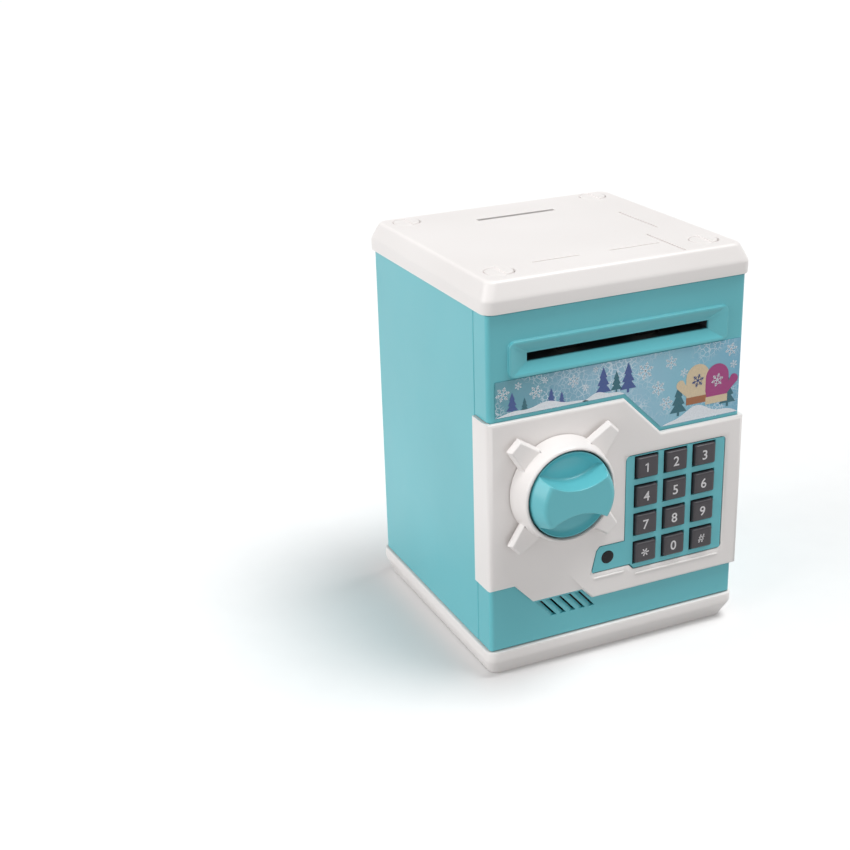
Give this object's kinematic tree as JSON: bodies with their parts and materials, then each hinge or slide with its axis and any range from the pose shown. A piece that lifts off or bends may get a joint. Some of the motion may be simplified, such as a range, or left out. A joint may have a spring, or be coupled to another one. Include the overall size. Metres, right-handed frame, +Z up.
{
  "type": "toy safe coin bank",
  "caption": "Box-shaped toy safe with a hinged front door, keypad, locking knob, powered banknote slot and a coin slot in the lid.",
  "frame": {"origin": "on the plinth's flat underside, midway between its sides and 2.5 mm in front of its centre", "axes": "+Z up; the door faces -Y; +X towards the door's hinge"},
  "size_m": [0.1334, 0.1482, 0.1888],
  "materials": {
    "teal_plastic": "smooth gloss moulded ABS",
    "white_plastic": "smooth gloss moulded ABS",
    "charcoal_keys": "satin moulded keys with printed legends",
    "sticker_print": "glossy printed label",
    "black_plastic": "matte black",
    "roller_rubber": "matte rubber",
    "nylon": "natural nylon",
    "grey_plastic": "matte grey",
    "circuit_board": "solder-masked board",
    "battery_wrap": "glossy wrap",
    "steel": "plain zinc-plated steel"
  },
  "bodies": {
    "cabinet": {"cabinet_shell": "teal_plastic", "plinth": "white_plastic", "lid": "white_plastic", "lid_plug_front_left": "white_plastic", "lid_plug_front_right": "white_plastic", "lid_plug_rear_left": "white_plastic", "lid_plug_rear_right": "white_plastic", "latch_strike": "white_plastic", "battery_1": "battery_wrap", "battery_2": "battery_wrap", "battery_3": "battery_wrap", "battery_contact_left": "steel", "battery_contact_right": "steel", "battery_cover": "white_plastic", "battery_cover_screw": "steel", "plinth_screw_1": "steel", "plinth_screw_2": "steel", "plinth_screw_3": "steel", "plinth_screw_4": "steel"},
    "door": {"door_shell": "teal_plastic", "fascia_panel": "white_plastic", "keypad_plate": "teal_plastic", "knob_ring": "white_plastic", "front_sticker": "sticker_print", "keypad_membrane": "black_plastic", "circuit_board": "circuit_board", "sensor_lens": "black_plastic", "speaker": "black_plastic", "door_cover": "white_plastic", "bill_chute": "grey_plastic", "feed_motor": "steel", "lock_solenoid": "grey_plastic", "hinge_pin_bottom": "steel", "hinge_pin_top": "steel", "door_cover_screw_1": "steel", "door_cover_screw_2": "steel", "door_cover_screw_3": "steel", "door_cover_screw_4": "steel"},
    "knob": {"knob": "teal_plastic", "knob_shaft": "nylon"},
    "latch_bolt": {"latch_bolt": "nylon"},
    "lock_plunger": {"lock_plunger": "steel"},
    "feed_roller": {"feed_shaft": "nylon", "feed_roller_left": "roller_rubber", "feed_roller_right": "roller_rubber"},
    "pinch_roller": {"pinch_roller": "nylon"},
    "motor_pinion": {"motor_pinion": "nylon"},
    "key_1": {"key_1": "charcoal_keys"},
    "key_2": {"key_2": "charcoal_keys"},
    "key_3": {"key_3": "charcoal_keys"},
    "key_4": {"key_4": "charcoal_keys"},
    "key_5": {"key_5": "charcoal_keys"},
    "key_6": {"key_6": "charcoal_keys"},
    "key_7": {"key_7": "charcoal_keys"},
    "key_8": {"key_8": "charcoal_keys"},
    "key_9": {"key_9": "charcoal_keys"},
    "key_star": {"key_star": "charcoal_keys"},
    "key_0": {"key_0": "charcoal_keys"},
    "key_hash": {"key_hash": "charcoal_keys"}
  },
  "joints": [
    {"name": "door_swing", "type": "hinge", "parent": "cabinet", "child": "door", "pos_m": [0.062, -0.0551, 0.094], "axis": [0, 0, 1], "range_deg": [0, 110]},
    {"name": "knob_turn", "type": "hinge", "parent": "door", "child": "knob", "pos_m": [-0.0318, -0.068, 0.09135], "axis": [0, 1, 0], "range_deg": [0, 90]},
    {"name": "latch_slide", "type": "slide", "parent": "door", "child": "latch_bolt", "axis": [-1, 0, 0], "range_m": [0, 0.0051]},
    {"name": "plunger_slide", "type": "slide", "parent": "door", "child": "lock_plunger", "axis": [0, 0, -1], "range_m": [0, 0.003], "stiffness_N_per_m": 60},
    {"name": "feed_roller_spin", "type": "hinge", "parent": "door", "child": "feed_roller", "pos_m": [0, -0.044, 0.1465], "axis": [1, 0, 0], "continuous": true},
    {"name": "pinch_roller_spin", "type": "hinge", "parent": "door", "child": "pinch_roller", "pos_m": [0, -0.044, 0.1568], "axis": [1, 0, 0], "continuous": true},
    {"name": "motor_spin", "type": "hinge", "parent": "door", "child": "motor_pinion", "pos_m": [0.05, -0.044, 0.1369], "axis": [1, 0, 0], "continuous": true},
    {"name": "key_1_press", "type": "slide", "parent": "door", "child": "key_1", "axis": [0, 1, 0], "range_m": [0, 0.0012], "stiffness_N_per_m": 300},
    {"name": "key_2_press", "type": "slide", "parent": "door", "child": "key_2", "axis": [0, 1, 0], "range_m": [0, 0.0012], "stiffness_N_per_m": 300},
    {"name": "key_3_press", "type": "slide", "parent": "door", "child": "key_3", "axis": [0, 1, 0], "range_m": [0, 0.0012], "stiffness_N_per_m": 300},
    {"name": "key_4_press", "type": "slide", "parent": "door", "child": "key_4", "axis": [0, 1, 0], "range_m": [0, 0.0012], "stiffness_N_per_m": 300},
    {"name": "key_5_press", "type": "slide", "parent": "door", "child": "key_5", "axis": [0, 1, 0], "range_m": [0, 0.0012], "stiffness_N_per_m": 300},
    {"name": "key_6_press", "type": "slide", "parent": "door", "child": "key_6", "axis": [0, 1, 0], "range_m": [0, 0.0012], "stiffness_N_per_m": 300},
    {"name": "key_7_press", "type": "slide", "parent": "door", "child": "key_7", "axis": [0, 1, 0], "range_m": [0, 0.0012], "stiffness_N_per_m": 300},
    {"name": "key_8_press", "type": "slide", "parent": "door", "child": "key_8", "axis": [0, 1, 0], "range_m": [0, 0.0012], "stiffness_N_per_m": 300},
    {"name": "key_9_press", "type": "slide", "parent": "door", "child": "key_9", "axis": [0, 1, 0], "range_m": [0, 0.0012], "stiffness_N_per_m": 300},
    {"name": "key_star_press", "type": "slide", "parent": "door", "child": "key_star", "axis": [0, 1, 0], "range_m": [0, 0.0012], "stiffness_N_per_m": 300},
    {"name": "key_0_press", "type": "slide", "parent": "door", "child": "key_0", "axis": [0, 1, 0], "range_m": [0, 0.0012], "stiffness_N_per_m": 300},
    {"name": "key_hash_press", "type": "slide", "parent": "door", "child": "key_hash", "axis": [0, 1, 0], "range_m": [0, 0.0012], "stiffness_N_per_m": 300}
  ],
  "couplings": [
    {"joint": "latch_slide", "follows": "knob_turn", "m_per_rad": 0.0032},
    {"joint": "pinch_roller_spin", "follows": "feed_roller_spin", "ratio": -1.5},
    {"joint": "motor_spin", "follows": "feed_roller_spin", "ratio": -2}
  ]
}
